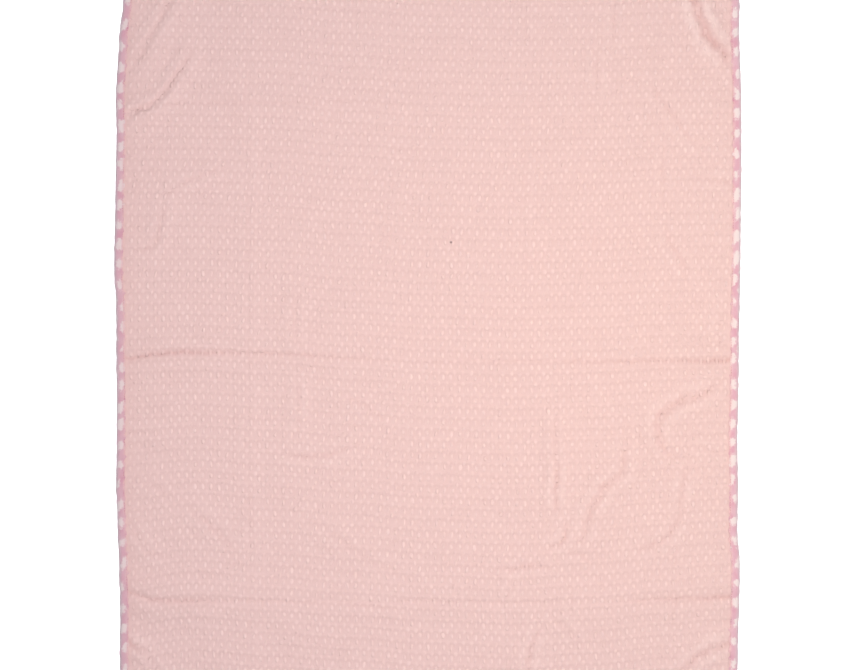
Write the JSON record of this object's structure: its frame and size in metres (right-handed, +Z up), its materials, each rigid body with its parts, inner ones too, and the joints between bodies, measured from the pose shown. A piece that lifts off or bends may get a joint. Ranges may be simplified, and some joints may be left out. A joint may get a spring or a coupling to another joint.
{
  "type": "pique cot blanket",
  "caption": "Open pique cot blanket lying flat, with soft storage creases and a narrow spotted bias binding along its edges.",
  "frame": {"origin": "middle of the blanket, on the surface it lies on", "axes": "+Z up out of the surface, X across the width, Y along the length"},
  "size_m": [0.8, 1.2, 0.0064],
  "materials": {
    "pique": "matt honeycomb pique of soft cotton, pale peach pink",
    "bias_tape": "fine plain-weave cotton tape, pink with round pale spots"
  },
  "bodies": {
    "root": {"panel": "pique", "binding_left": "bias_tape", "binding_right": "bias_tape", "binding_top": "bias_tape", "binding_bottom": "bias_tape"}
  },
  "joints": []
}
